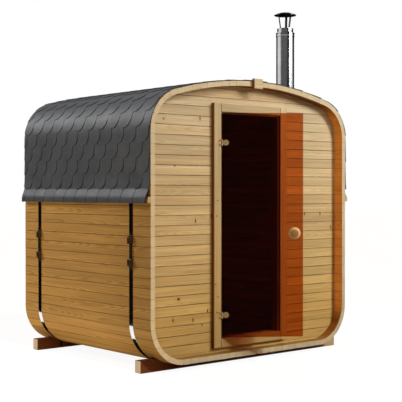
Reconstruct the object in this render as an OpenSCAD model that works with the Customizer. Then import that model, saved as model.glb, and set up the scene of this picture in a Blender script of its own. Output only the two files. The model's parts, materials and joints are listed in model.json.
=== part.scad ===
// Cube sauna: a garden sauna whose staves make a rounded box with an arched crown. The staves sit in
// two saddle-cut skids and are drawn together by two steel bands with screw tensioners. Shingles
// cover the crown down to an eave batten on each side, and a hinged glass door stands ajar in front.
// Origin: the middle of the front skid's underside. X runs right along the front, Y to the back, Z up.

/* [Body] */
// Width over the staves
body_w = 2100; // [1750:10:2520]
// Length of the staves, from the front rim to the back rim
body_l = 1740; // [1450:10:2100]
// Height of the crown of the staves over the ground
crown_z = 2192; // [2150:2:2630]
// Height of the underside of the staves over the ground
belly_z = 48; // [40:1:70]
// Thickness of the staves
stave_t = 40; // [30:1:50]
// Outer radius of the four corners
corner_r = 320; // [250:5:380]
// Outer radius of the crown
crown_r = 3115; // [2400:5:3900]

/* [Skids] */
// Thickness of a skid along the building
skid_t = 70; // [50:1:90]
// How far the ends of a skid stay behind the sides of the staves
skid_in = 1; // [0:1:20]
// Height of a skid at its ends
skid_h = 93; // [80:1:130]
// Distance from a rim to the near face of its skid
skid_set = 122; // [90:1:150]

/* [End walls] */
// Depth of an end wall behind its rim
wall_set = 84; // [60:1:120]
// Thickness of an end wall
wall_t = 40; // [30:1:50]

/* [Door frame] */
// Clear width between the jambs
door_w = 640; // [560:5:760]
// Height of the threshold's top over the ground
door_z = 198; // [180:1:230]
// Clear height between the threshold and the head
door_h = 1745; // [1450:1:1760]
// Face width of a jamb
jamb_w = 75; // [60:1:95]
// Face height of the head
head_h = 66; // [50:1:80]
// Face height of the threshold
threshold_h = 72; // [55:1:85]
// How far the frame stands out of the wall
frame_out = 30; // [18:1:40]
// How far the frame stands into the room
frame_in = 20; // [10:1:30]
// How far the door stop narrows the opening on each side
stop_w = 12; // [8:1:14]
// Gap between the shut glass and the door stop
stop_gap = 10; // [10:1:14]

/* [Door leaf] */
// Thickness of the glass
glass_t = 8; // [6:1:10]
// Gap round the glass in the frame
leaf_gap = 6; // [5:0.5:8]
// Distance from the hinge axis to the frame's face
hinge_out = 8; // [8:0.5:12]
// How far the door stands open
ajar_a = 34.5; // [0:0.5:75]
// Diameter of the round hinge clamps
clamp_d = 46; // [40:1:56]
// Thickness of the outer half of a clamp
clamp_out_t = 8; // [6:1:8]
// Thickness of the inner half of a clamp
clamp_in_t = 5; // [3:1:5]
// Height of the lower hinge's middle over the threshold
hinge_low_set = 180; // [100:1:300]
// Distance from the head down to the upper hinge's middle
hinge_high_set = 237; // [100:1:300]
// Diameter of the hinge pins
pin_d = 6; // [5:0.5:7]
// Diameter of the hinge knuckles
knuckle_d = 12; // [10:0.5:14]
// Height of a hinge bracket
bracket_h = 50; // [40:1:70]
// Diameter of the outer knob
knob_d = 96; // [80:1:110]
// Diameter of the inner knob
knob_in_d = 70; // [60:1:70]
// Distance from the glass's free edge to the middle of the knobs
knob_set = 72; // [62:1:90]
// Height of the knobs over the threshold
knob_up = 808; // [700:1:900]
// How far the knobs stand out of the glass
knob_t = 42; // [30:1:45]

/* [Roof] */
// Thickness of the lapped shingles
shingle_t = 10; // [8:1:14]
// Thickness of the eave row of shingles
eave_t = 5; // [4:0.5:6]
// Height of the eave row's lower edge
eave_z = 1244; // [1100:1:1300]
// Height over which the eave row swings out from the wall
kick_h = 68; // [50:1:90]
// Height of an eave batten
batten_h = 46; // [30:1:50]
// Thickness of an eave batten
batten_t = 30; // [20:1:36]
// Width of a ridge block
ridge_w = 92; // [70:1:120]
// Height of a ridge block
ridge_h = 79; // [60:1:90]
// Height of a ridge block over the staves' crown
ridge_up = 21; // [14:1:26]
// How far a ridge block stands out of the rim
ridge_t = 25; // [18:1:35]

/* [Bands] */
// Width of a steel band
band_w = 46; // [38:1:60]
// Thickness of a steel band
band_t = 2; // [1.5:0.25:2.5]
// Distance from a rim to the middle of its band
band_set = 235; // [225:1:320]
// Height of the middle of the upper lugs
lug_high_z = 970; // [930:1:1100]
// Height of the middle of the lower lugs
lug_low_z = 808; // [650:1:840]
// Height of a lug
lug_h = 50; // [40:1:80]
// How far a lug stands out of its band
lug_t = 19; // [16:1:26]
// Diameter of the tensioner's rod
rod_d = 14; // [10:1:15]

/* [Flue] */
// Distance of the flue from the side of the staves
flue_side = 354; // [340:1:900]
// Distance of the flue from the front rim
flue_set = 370; // [350:5:900]
// Diameter of the flue pipe
flue_d = 154; // [120:2:170]
// Wall of the flue pipe
flue_t = 3; // [2:0.5:4]
// Height of the flue pipe's top over the ground
flue_top_z = 2726; // [2500:2:3100]
// Depth of the flue pipe's foot under the crown of the ceiling
flue_foot = 150; // [140:5:260]
// Height of the narrower mouth of the flue pipe
spigot_h = 36; // [25:1:60]
// Step from the flue pipe in to its mouth
spigot_in = 8; // [4:0.5:12]
// Inner diameter of the liner in the flue pipe
liner_d = 90; // [80:2:100]
// Diameter of the rain cap
cap_d = 188; // [170:2:230]
// Height of the rain cap
cap_h = 26; // [18:1:40]
// Gap between the flue pipe and the edge of the rain cap
cap_gap = 114; // [60:1:130]
// Width of a leg of the rain cap
leg_w = 20; // [12:1:24]

/* [Hidden] */
$fn = 96;

// Clearance between a fixed piece and the round face that it lies on
seat = 0.3;
// Angle left open at each end of a bent piece, so that it only just misses its neighbour
joint_a = 0.02;
// Running clearance of the hinge pins, on the radius
pin_clear = 0.05;
// Steps of an arch that is drawn with straight facets
corner_steps = 16;
crown_steps = 24;
crown_fn = 360;

// Planes along the building
rim_y = -skid_set - skid_t / 2;
back_y = rim_y + body_l;
wall_y = rim_y + wall_set;
back_wall_y = back_y - wall_set - wall_t;
face_y = wall_y - frame_out;
frame_t = frame_out + wall_t + frame_in;
skid_back_y = rim_y + body_l - skid_set - skid_t / 2;

// Centres of the arcs that make the cross-section of the staves
side_x = body_w / 2;
corner_x = side_x - corner_r;
low_z = belly_z + corner_r;
arch_z = crown_z - crown_r;
arch_a = asin(corner_x / (crown_r - corner_r));
high_z = arch_z + (crown_r - corner_r) * cos(arch_a);

// Heights of the door frame
frame_low_z = door_z - threshold_h;
frame_high_z = door_z + door_h + head_h;
frame_w = door_w + 2 * jamb_w;

// Door leaf, measured from the hinge axis with the door shut
hinge_x = -door_w / 2;
hinge_y = face_y - hinge_out;
glass_w = door_w - 2 * leaf_gap;
glass_h = door_h - 2 * leaf_gap;
glass_back = hinge_out + glass_t;
clamp_s = leaf_gap + clamp_d / 2 + 1;
hinge_low_z = door_z + hinge_low_set;
hinge_high_z = door_z + door_h - hinge_high_set;
knob_z = door_z + knob_up;
clamp_bolt_d = 10;
knob_s = leaf_gap + glass_w - knob_set;
spindle_d = 10;
hole_clear = 0.5;

// Roof heights
batten_top_z = eave_z + 2 + batten_h;
kick_z = batten_top_z + kick_h;

// Flue
flue_x = side_x - flue_side;
flue_y = rim_y + flue_set;
flue_roof_z = arch_z + sqrt(pow(crown_r, 2) - pow(flue_x, 2));
spigot_z = flue_top_z - spigot_h;
spigot_r = flue_d / 2 - spigot_in;
bead_h = 38;
bead_out = 3;
cap_t = 2;
leg_t = 3;
liner_t = 2;

// Points of an arc about [cx, cz], on the circle, so that the chords lie inside it
function arc_in(cx, cz, r, a0, a1, n) =
    [for (i = [0 : n]) let (a = a0 + (a1 - a0) * i / n) [cx + r * cos(a), cz + r * sin(a)]];

// Points of an arc whose chords touch the circle from outside
function arc_out(cx, cz, r, a0, a1, n) =
    let (step = (a1 - a0) / n, far = r / cos(step / 2))
    [for (i = [0 : n - 1]) let (a = a0 + step * (i + 0.5)) [cx + far * cos(a), cz + far * sin(a)]];

function reversed(list) = [for (i = [len(list) - 1 : -1 : 0]) list[i]];

// Inner face of the staves, as one closed outline
function room_outline() =
    let (r = corner_r - stave_t)
    concat(
        arc_in(-corner_x, low_z, r, 180, 270, corner_steps),
        arc_in(corner_x, low_z, r, 270, 360, corner_steps),
        arc_in(corner_x, high_z, r, 0, 90 - arch_a, corner_steps),
        arc_in(0, arch_z, crown_r - stave_t, 90 - arch_a, 90 + arch_a, crown_steps),
        arc_in(-corner_x, high_z, r, 90 + arch_a, 180, corner_steps)
    );

// Way of a band over the staves, out by out_d, between the heights of its two ends
function over_way(out_d, end_z) =
    concat(
        [[side_x + out_d, end_z]],
        arc_out(corner_x, high_z, corner_r + out_d, 0, 90 - arch_a, corner_steps),
        arc_out(0, arch_z, crown_r + out_d, 90 - arch_a, 90 + arch_a, crown_steps),
        arc_out(-corner_x, high_z, corner_r + out_d, 90 + arch_a, 180, corner_steps),
        [[-side_x - out_d, end_z]]
    );

// Way of a band under the staves, out by out_d
function under_way(out_d, end_z) =
    concat(
        [[-side_x - out_d, end_z]],
        arc_out(-corner_x, low_z, corner_r + out_d, 180, 270, corner_steps),
        arc_out(corner_x, low_z, corner_r + out_d, 270, 360, corner_steps),
        [[side_x + out_d, end_z]]
    );

// Section of a shingle layer along the building, with a groove over each band
function grooved_section(near, far) =
    let (groove = band_t + 1, a = band_set - band_w / 2 - 1, b = band_set + band_w / 2 + 1)
    [
        [near, 0], [near, a], [near + groove, a], [near + groove, b], [near, b],
        [near, body_l - b], [near + groove, body_l - b], [near + groove, body_l - a],
        [near, body_l - a], [near, body_l], [far, body_l], [far, 0],
    ];

// A prism along Y of a section drawn in X and Z
module along(y0, l) {
    translate([0, y0 + l, 0]) rotate([90, 0, 0]) linear_extrude(l) children();
}

// Part of a ring about an axis along Y, from a section drawn as radius and length
module bent(cx, cz, a0, a1) {
    translate([cx, back_y, cz]) rotate([90, 0, 0]) rotate([0, 0, a0])
        rotate_extrude(angle = a1 - a0) children();
}

module stave_section(r) {
    translate([r - stave_t, 0]) square([stave_t, body_l]);
}

module flue_hole(extra) {
    translate([flue_x, flue_y, flue_roof_z - crown_r / 10])
        cylinder(d = flue_d + 2 * extra, h = crown_r / 5);
}

// Skids ---------------------------------------------------------------------------------------

module skid() {
    end_a = acos((low_z - skid_h) / corner_r);
    saddle_x = corner_x + corner_r * sin(end_a);
    end_x = side_x - skid_in;
    right_top = concat(
        [[0, belly_z]],
        arc_out(corner_x, low_z, corner_r, 270, 270 + end_a, 4),
        [[saddle_x, skid_h], [end_x, skid_h], [end_x, 0]]
    );
    color("saddlebrown") along(-skid_t / 2, skid_t)
        polygon(concat(right_top, [for (p = reversed(right_top)) if (p[0] > 0) [-p[0], p[1]]]));
}

module skid_front() {
    skid();
}

module skid_back() {
    translate([0, skid_back_y, 0]) skid();
}

// Staves --------------------------------------------------------------------------------------

module floor_staves() {
    color("burlywood") translate([-corner_x, rim_y, belly_z]) cube([2 * corner_x, body_l, stave_t]);
}

module corner_low_left() {
    color("burlywood") bent(-corner_x, low_z, 180 + joint_a, 270 - joint_a) stave_section(corner_r);
}

module corner_low_right() {
    color("burlywood") bent(corner_x, low_z, 270 + joint_a, 360 - joint_a) stave_section(corner_r);
}

module side_staves_right() {
    color("burlywood") translate([side_x - stave_t, rim_y, low_z])
        cube([stave_t, body_l, high_z - low_z]);
}

module side_staves_left() {
    mirror([1, 0, 0]) side_staves_right();
}

module corner_high_left() {
    color("burlywood") bent(-corner_x, high_z, 90 + arch_a + joint_a, 180 - joint_a)
        stave_section(corner_r);
}

module corner_high_right() {
    color("burlywood") bent(corner_x, high_z, joint_a, 90 - arch_a - joint_a) stave_section(corner_r);
}

module crown_staves() {
    color("burlywood") difference() {
        bent(0, arch_z, 90 - arch_a, 90 + arch_a, $fn = crown_fn) stave_section(crown_r);
        flue_hole(seat);
    }
}

// End walls -----------------------------------------------------------------------------------

module end_wall(y0) {
    along(y0, wall_t) polygon(room_outline());
}

// The part of the front wall inside a block from x0 to x1 and z0 to z1
module front_wall_part(x0, x1, z0, z1) {
    color("wheat") intersection() {
        end_wall(wall_y);
        translate([x0, wall_y - 1, z0]) cube([x1 - x0, wall_t + 2, z1 - z0]);
    }
}

module front_wall_left() {
    front_wall_part(-side_x, -frame_w / 2, 0, crown_z);
}

module front_wall_right() {
    front_wall_part(frame_w / 2, side_x, 0, crown_z);
}

module front_wall_over_door() {
    front_wall_part(-frame_w / 2, frame_w / 2, frame_high_z, crown_z);
}

module front_wall_under_door() {
    front_wall_part(-frame_w / 2, frame_w / 2, 0, frame_low_z);
}

module back_wall() {
    color("wheat") end_wall(back_wall_y);
}

// Door frame ----------------------------------------------------------------------------------

// Section of a frame member of face width w, with the stop at x = w
module frame_section(w) {
    rebate = glass_t + stop_gap;
    polygon([
        [0, 0], [w, 0], [w, rebate], [w + stop_w, rebate], [w + stop_w, frame_t], [0, frame_t],
    ]);
}

module door_jamb_left() {
    color("navajowhite") translate([-frame_w / 2, face_y, frame_low_z])
        linear_extrude(frame_high_z - frame_low_z) frame_section(jamb_w);
}

module door_jamb_right() {
    mirror([1, 0, 0]) door_jamb_left();
}

module door_head() {
    rebate = glass_t + stop_gap;
    color("navajowhite") difference() {
        translate([-door_w / 2, face_y, door_z + door_h - stop_w]) cube([door_w, frame_t, head_h + stop_w]);
        translate([-door_w / 2 - 1, face_y - 1, door_z + door_h - stop_w - 1])
            cube([door_w + 2, rebate + 1, stop_w + 1]);
        for (side = [-1, 1])
            translate([side * door_w / 2 - stop_w, face_y + rebate, door_z + door_h - stop_w - 1])
                cube([2 * stop_w, frame_t, head_h + stop_w + 2]);
    }
}

module door_threshold() {
    rebate = glass_t + stop_gap;
    color("navajowhite") difference() {
        translate([-door_w / 2, face_y, frame_low_z]) cube([door_w, frame_t, threshold_h]);
        for (side = [-1, 1])
            translate([side * door_w / 2 - stop_w, face_y + rebate, frame_low_z - 1])
                cube([2 * stop_w, frame_t, threshold_h + 2]);
    }
}

// Door leaf -----------------------------------------------------------------------------------

// Places what is drawn from the hinge axis, door shut, at the angle where the door stands
module on_leaf() {
    translate([hinge_x, hinge_y, 0]) rotate([0, 0, -ajar_a]) children();
}

// A cylinder through the leaf, along Y from y0, at s from the hinge and height z
module leaf_pin(s, z, d, y0, l) {
    translate([s, y0, z]) rotate([-90, 0, 0]) cylinder(d = d, h = l);
}

module door_glass() {
    color("saddlebrown", 0.6) on_leaf() difference() {
        translate([leaf_gap, hinge_out, door_z + leaf_gap]) cube([glass_w, glass_t, glass_h]);
        for (z = [hinge_low_z, hinge_high_z])
            leaf_pin(clamp_s, z, clamp_bolt_d + 2 * hole_clear, hinge_out - 1, glass_t + 2);
        leaf_pin(knob_s, knob_z, spindle_d + 2 * hole_clear, hinge_out - 1, glass_t + 2);
    }
}

module door_hinge_clamps() {
    arm_h = bracket_h * 0.4;
    color("goldenrod") on_leaf() for (z = [hinge_low_z, hinge_high_z]) {
        difference() {
            union() {
                leaf_pin(clamp_s, z, clamp_d, hinge_out - clamp_out_t, clamp_out_t);
                leaf_pin(clamp_s, z, clamp_bolt_d, hinge_out - 1, glass_t + 2);
                leaf_pin(clamp_s, z, clamp_d, glass_back, clamp_in_t);
                translate([0, 0, z - arm_h / 2]) cylinder(d = knuckle_d, h = arm_h);
                translate([0, hinge_out - clamp_out_t, z - arm_h / 2])
                    cube([clamp_s, clamp_out_t - 2, arm_h]);
            }
            translate([0, 0, z - arm_h]) cylinder(d = pin_d + 2 * pin_clear, h = 2 * arm_h);
        }
    }
}

module door_hinge_brackets() {
    arm_h = bracket_h * 0.4 + 2;
    knuckle_h = (bracket_h - arm_h) / 2;
    plate_w = 18;
    plate_t = 3;
    plate_x = -knuckle_d / 2 - 1 - plate_w;
    color("goldenrod") for (z = [hinge_low_z, hinge_high_z]) translate([hinge_x, hinge_y, z - bracket_h / 2]) {
        cylinder(d = pin_d, h = bracket_h);
        for (up = [0, bracket_h - knuckle_h]) translate([0, 0, up]) {
            cylinder(d = knuckle_d, h = knuckle_h);
            translate([plate_x, 0, 0]) cube([-plate_x, hinge_out - plate_t / 2, knuckle_h]);
        }
        translate([plate_x, hinge_out - plate_t, 0]) cube([plate_w, plate_t, bracket_h]);
    }
}

// A turned knob on a round foot, standing out along Z, with a wide bevel round its flat face
module knob(d) {
    neck_d = d * 0.45;
    rotate_extrude() polygon([
        [0, 0], [neck_d / 2 + 4, 0], [neck_d / 2, 6], [neck_d / 2, knob_t * 0.35],
        [d / 2 - 6, knob_t * 0.42], [d / 2 - 1, knob_t * 0.5], [d / 2, knob_t * 0.58],
        [d / 2 - 1, knob_t * 0.68], [d * 0.37, knob_t - 2], [d * 0.34, knob_t], [0, knob_t],
    ]);
}

module door_knobs() {
    color("burlywood") on_leaf() translate([knob_s, 0, knob_z]) {
        translate([0, hinge_out, 0]) rotate([90, 0, 0]) knob(knob_d);
        translate([0, glass_back, 0]) rotate([-90, 0, 0]) knob(knob_in_d);
        translate([0, hinge_out - 1, 0]) rotate([-90, 0, 0]) cylinder(d = spindle_d, h = glass_t + 2);
    }
}

// Roof ----------------------------------------------------------------------------------------

module shingles_crown() {
    color("dimgray") difference() {
        bent(0, arch_z, 90 - arch_a, 90 + arch_a, $fn = crown_fn)
            polygon(grooved_section(crown_r, crown_r + shingle_t));
        flue_hole(seat);
    }
}

module shingles_corner_left() {
    color("dimgray") bent(-corner_x, high_z, 90 + arch_a + joint_a, 180 - joint_a)
        polygon(grooved_section(corner_r, corner_r + shingle_t));
}

module shingles_corner_right() {
    color("dimgray") bent(corner_x, high_z, joint_a, 90 - arch_a - joint_a)
        polygon(grooved_section(corner_r, corner_r + shingle_t));
}

module shingles_side_right() {
    color("dimgray") translate([side_x, rim_y, kick_z]) linear_extrude(high_z - kick_z)
        polygon(grooved_section(0, shingle_t));
}

module shingles_side_left() {
    mirror([1, 0, 0]) shingles_side_right();
}

// The lowest row swings out over the eave batten and hangs down in front of it
module shingles_eave_right() {
    near = batten_t + seat;
    color("dimgray") along(rim_y, body_l) translate([side_x, 0]) polygon([
        [band_t + 1, kick_z], [shingle_t, kick_z], [near + eave_t, batten_top_z],
        [near + eave_t, eave_z], [near, eave_z], [near, batten_top_z],
    ]);
}

module shingles_eave_left() {
    mirror([1, 0, 0]) shingles_eave_right();
}

// Tapers downwards and is notched over the bands
module eave_batten_right() {
    low = batten_top_z - batten_h;
    color("burlywood") difference() {
        along(rim_y, body_l) translate([side_x, 0]) polygon([
            [0, low], [batten_t * 0.75, low], [batten_t, low + batten_h * 0.3],
            [batten_t, batten_top_z], [0, batten_top_z],
        ]);
        for (y = [rim_y + band_set, back_y - band_set])
            translate([side_x - 1, y - band_w / 2 - 1, low - 1])
                cube([band_t + 1.5, band_w + 2, batten_h + 2]);
    }
}

module eave_batten_left() {
    mirror([1, 0, 0]) eave_batten_right();
}

module ridge_block_front() {
    color("wheat") translate([-ridge_w / 2, rim_y - ridge_t, crown_z + ridge_up - ridge_h])
        cube([ridge_w, ridge_t, ridge_h]);
}

module ridge_block_back() {
    color("wheat") translate([-ridge_w / 2, back_y, crown_z + ridge_up - ridge_h])
        cube([ridge_w, ridge_t, ridge_h]);
}

// Bands ---------------------------------------------------------------------------------------

module band_upper(y) {
    end_z = lug_high_z - lug_h / 2;
    color("black") along(y - band_w / 2, band_w)
        polygon(concat(over_way(band_t, end_z), reversed(over_way(0, end_z))));
}

module band_lower(y) {
    end_z = lug_low_z + lug_h / 2;
    color("black") along(y - band_w / 2, band_w)
        polygon(concat(under_way(band_t, end_z), reversed(under_way(0, end_z))));
}

module band_front_upper() {
    band_upper(rim_y + band_set);
}

module band_front_lower() {
    band_lower(rim_y + band_set);
}

module band_back_upper() {
    band_upper(back_y - band_set);
}

module band_back_lower() {
    band_lower(back_y - band_set);
}

// A lug with its open side down and, above it, two cheeks that run out to the band round the nut
module lug(nut_d) {
    cheek_h = lug_h * 0.6;
    edge = 1;
    difference() {
        along(-band_w / 2, band_w) polygon([
            [0, 0], [lug_t - edge, 0], [lug_t, edge], [lug_t, lug_h - edge], [lug_t - edge, lug_h],
            [band_t, lug_h + cheek_h], [0, lug_h + cheek_h],
        ]);
        translate([-1, -nut_d / 2 - 1.5, lug_h]) cube([lug_t + 2, nut_d + 3, cheek_h + 1]);
    }
}

// Two lugs on the band ends, drawn together by a rod with a nut beyond each lug
module tensioner(y) {
    nut_h = rod_d * 0.8;
    nut_d = (lug_t - 2.5) / cos(30);
    low = lug_low_z - lug_h / 2;
    high = lug_high_z + lug_h / 2;
    rod_x = side_x + band_t + lug_t / 2;
    color("black") {
        translate([side_x + band_t, y, high - lug_h]) lug(nut_d);
        translate([side_x + band_t, y, low + lug_h]) mirror([0, 0, 1]) lug(nut_d);
        translate([rod_x, y, low - 2 * nut_h]) cylinder(d = rod_d, h = high - low + 4 * nut_h);
        for (z = [low - nut_h, high])
            translate([rod_x, y, z]) rotate(30) cylinder(d = nut_d, h = nut_h, $fn = 6);
    }
}

module tensioner_front_right() {
    tensioner(rim_y + band_set);
}

module tensioner_front_left() {
    mirror([1, 0, 0]) tensioner_front_right();
}

module tensioner_back_right() {
    tensioner(back_y - band_set);
}

module tensioner_back_left() {
    mirror([1, 0, 0]) tensioner_back_right();
}

// Flue ----------------------------------------------------------------------------------------

module flue_pipe() {
    foot_z = crown_z - stave_t - flue_foot;
    bead_z = spigot_z - bead_h;
    ridge_h = bead_h * 0.25;
    color("silver") translate([flue_x, flue_y, 0]) rotate_extrude() polygon([
        [flue_d / 2 - flue_t, foot_z], [flue_d / 2, foot_z],
        [flue_d / 2, bead_z], [flue_d / 2 + bead_out, bead_z + bead_out],
        [flue_d / 2 + bead_out, bead_z + ridge_h], [flue_d / 2 + 1, bead_z + ridge_h + bead_out],
        [flue_d / 2 + 1, spigot_z - ridge_h - bead_out], [flue_d / 2 + bead_out, spigot_z - ridge_h],
        [flue_d / 2 + bead_out, spigot_z - bead_out], [flue_d / 2, spigot_z],
        [spigot_r, spigot_z], [spigot_r, flue_top_z], [spigot_r - flue_t, flue_top_z],
        [spigot_r - flue_t, spigot_z - flue_t], [flue_d / 2 - flue_t, spigot_z - flue_t],
    ]);
}

// The inner tube, closed against the pipe's mouth by a ring
module flue_liner() {
    foot_z = crown_z - stave_t - flue_foot;
    ring_z = flue_top_z - 12;
    color("silver") translate([flue_x, flue_y, 0]) rotate_extrude() polygon([
        [liner_d / 2, foot_z], [liner_d / 2 + liner_t, foot_z], [liner_d / 2 + liner_t, ring_z],
        [spigot_r - flue_t, ring_z], [spigot_r - flue_t, ring_z + liner_t],
        [liner_d / 2 + liner_t, ring_z + liner_t], [liner_d / 2 + liner_t, flue_top_z],
        [liner_d / 2, flue_top_z],
    ]);
}

// A sheet on the shingles with an upstand round the pipe
module flue_flashing() {
    sheet_t = 2;
    sheet_w = flue_d + 180;
    upstand_h = 70;
    upstand_t = 6;
    lie = crown_r + shingle_t + seat;
    tilt = asin(flue_x / lie);
    half = asin(sheet_w / 2 / lie);
    color("silver") difference() {
        union() {
            translate([0, flue_y + sheet_w / 2, arch_z]) rotate([90, 0, 0])
                rotate([0, 0, 90 - tilt - half]) rotate_extrude(angle = 2 * half, $fn = crown_fn)
                translate([lie, 0]) square([sheet_t, sheet_w]);
            difference() {
                translate([flue_x, flue_y, flue_roof_z - upstand_h])
                    cylinder(d = flue_d + 2 * upstand_t, h = 2 * upstand_h);
                translate([0, flue_y + flue_d, arch_z]) rotate([90, 0, 0])
                    cylinder(r = lie + sheet_t / 2, h = 2 * flue_d, $fn = crown_fn);
            }
        }
        flue_hole(seat);
    }
}

// A spun dome with a turned-down edge, on three flat legs that splay out of the liner's mouth
module rain_cap() {
    leg_r = sqrt(pow(liner_d / 2, 2) - pow(leg_w / 2, 2));
    leg_low = flue_top_z - spigot_h * 0.9;
    edge_z = flue_top_z + cap_gap;
    edge_h = 3;
    cap_r = cap_d / 2;
    splay_r = cap_r * 0.66;
    function dome_z(r, lift) = edge_z + lift + edge_h + (cap_h - edge_h) * (1 - pow(r / cap_r, 2));
    dome_r = [cap_r, cap_r * 0.75, cap_r * 0.5, cap_r * 0.25, 0];
    color("silver") translate([flue_x, flue_y, 0]) {
        rotate_extrude() polygon(concat(
            [[cap_r - cap_t, edge_z], [cap_r, edge_z]],
            [for (r = dome_r) [r, dome_z(r, 0)]],
            [for (r = reversed(dome_r)) [max(r - cap_t, 0), dome_z(r, -cap_t)]]
        ));
        for (a = [35.5, 155.5, 275.5]) rotate([0, 0, a])
            translate([0, leg_w / 2, 0]) rotate([90, 0, 0]) linear_extrude(leg_w) polygon([
                [leg_r - leg_t, leg_low], [leg_r, leg_low], [leg_r, flue_top_z],
                [splay_r, dome_z(splay_r, 0) - cap_t / 2],
                [splay_r - leg_t, dome_z(splay_r, 0) - cap_t / 2], [leg_r - leg_t, flue_top_z],
            ]);
    }
}

skid_front();
skid_back();
floor_staves();
corner_low_left();
corner_low_right();
side_staves_left();
side_staves_right();
corner_high_left();
corner_high_right();
crown_staves();
front_wall_left();
front_wall_right();
front_wall_over_door();
front_wall_under_door();
back_wall();
door_jamb_left();
door_jamb_right();
door_head();
door_threshold();
door_glass();
door_hinge_clamps();
door_hinge_brackets();
door_knobs();
shingles_crown();
shingles_corner_left();
shingles_corner_right();
shingles_side_left();
shingles_side_right();
shingles_eave_left();
shingles_eave_right();
eave_batten_left();
eave_batten_right();
ridge_block_front();
ridge_block_back();
band_front_upper();
band_front_lower();
band_back_upper();
band_back_lower();
tensioner_front_left();
tensioner_front_right();
tensioner_back_left();
tensioner_back_right();
flue_pipe();
flue_liner();
flue_flashing();
rain_cap();
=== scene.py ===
"""Looks of the cube sauna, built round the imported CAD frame.

Metres. X runs right along the front, Y to the back, Z up. Places come from the CAD nodes' boxes.
"""

import json
import math
import random

import bmesh
import bpy
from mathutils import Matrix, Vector

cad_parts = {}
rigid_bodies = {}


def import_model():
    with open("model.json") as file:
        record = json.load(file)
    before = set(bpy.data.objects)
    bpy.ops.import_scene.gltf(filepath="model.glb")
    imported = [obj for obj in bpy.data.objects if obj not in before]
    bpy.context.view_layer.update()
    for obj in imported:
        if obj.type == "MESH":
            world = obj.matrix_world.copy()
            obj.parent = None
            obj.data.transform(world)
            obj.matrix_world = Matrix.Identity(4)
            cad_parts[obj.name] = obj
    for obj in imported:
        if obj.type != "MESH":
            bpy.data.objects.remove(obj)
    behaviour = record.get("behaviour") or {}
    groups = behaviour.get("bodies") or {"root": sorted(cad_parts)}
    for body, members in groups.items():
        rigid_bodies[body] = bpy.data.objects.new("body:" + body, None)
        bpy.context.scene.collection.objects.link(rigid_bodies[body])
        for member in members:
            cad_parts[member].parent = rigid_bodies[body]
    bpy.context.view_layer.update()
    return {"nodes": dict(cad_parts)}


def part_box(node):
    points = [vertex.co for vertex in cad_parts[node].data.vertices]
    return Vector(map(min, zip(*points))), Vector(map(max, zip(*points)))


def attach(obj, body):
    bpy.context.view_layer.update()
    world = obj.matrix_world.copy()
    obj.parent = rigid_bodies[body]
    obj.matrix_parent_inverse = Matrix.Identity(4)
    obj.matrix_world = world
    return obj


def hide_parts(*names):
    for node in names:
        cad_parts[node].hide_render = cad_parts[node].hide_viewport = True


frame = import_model()
nodes = frame["nodes"]
rng = random.Random(7)

# Camera ---

scene = bpy.context.scene


def shown(name, data):
    """A new object that stands in the scene."""
    made = bpy.data.objects.new(name, data)
    scene.collection.objects.link(made)
    return made


camera_data = bpy.data.cameras.new("camera")
camera_data.lens = 88.93
camera_data.sensor_width = 36
camera_data.clip_end = 200
camera = shown("camera", camera_data)
camera.location = (-5.4149, -5.801, 1.3323)
camera.rotation_euler = (math.radians(90 - 0.565), 0, math.radians(-40.62))
scene.camera = camera

# Measures ---


def low(node):
    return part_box(node)[0]


def high(node):
    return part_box(node)[1]


RIM_Y = low("floor_staves").y
BACK_Y = high("floor_staves").y
BELLY_Z = low("floor_staves").z
STAVE_T = high("floor_staves").z - BELLY_Z
CORNER_X = high("floor_staves").x
SIDE_X = high("side_staves_right").x
LOW_Z = low("side_staves_right").z
HIGH_Z = high("side_staves_right").z
CROWN_Z = high("crown_staves").z
CORNER_R = SIDE_X - CORNER_X
DROP = HIGH_Z - CROWN_Z
CROWN_R = (CORNER_X**2 + DROP**2 - CORNER_R**2) / (-2 * (CORNER_R + DROP))
ARCH_Z = CROWN_Z - CROWN_R
ARCH_A = math.asin(CORNER_X / (CROWN_R - CORNER_R))

WALL_Y = low("front_wall_left").y
WALL_T = high("front_wall_left").y - WALL_Y
BACK_WALL_Y = low("back_wall").y
FRAME_X = high("door_jamb_right").x
FRAME_LOW_Z = low("door_jamb_right").z
FRAME_HIGH_Z = high("door_jamb_right").z

# Lengths along the outside of the staves, from the middle of the crown down the right side
CROWN_END = CROWN_R * ARCH_A
CORNER_END = CROWN_END + CORNER_R * (math.pi / 2 - ARCH_A)
SIDE_END = CORNER_END + HIGH_Z - LOW_Z
LOW_END = SIDE_END + CORNER_R * math.pi / 2
ROUND_END = LOW_END + CORNER_X

# Cover of a stave or board, and the height of the lowest joint line
COURSE = 0.075
COURSE_Z = 0.027


def on_round(t, d):
    """Point at length t along the staves' outside, d outside it. A negative t is on the left."""
    side = -1 if t < 0 else 1
    t = abs(t)
    if t >= LOW_END:
        return side * (CORNER_X - (t - LOW_END)), BELLY_Z - d
    if CORNER_END <= t < SIDE_END:
        return side * (SIDE_X + d), HIGH_Z - (t - CORNER_END)
    if t < CROWN_END:
        x, z, r, a = 0, ARCH_Z, CROWN_R, math.pi / 2 - t / CROWN_R
    elif t < CORNER_END:
        x, z, r, a = CORNER_X, HIGH_Z, CORNER_R, math.pi / 2 - ARCH_A - (t - CROWN_END) / CORNER_R
    else:
        x, z, r, a = CORNER_X, LOW_Z, CORNER_R, -(t - SIDE_END) / CORNER_R
    return side * (x + (r + d) * math.cos(a)), z + (r + d) * math.sin(a)


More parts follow.
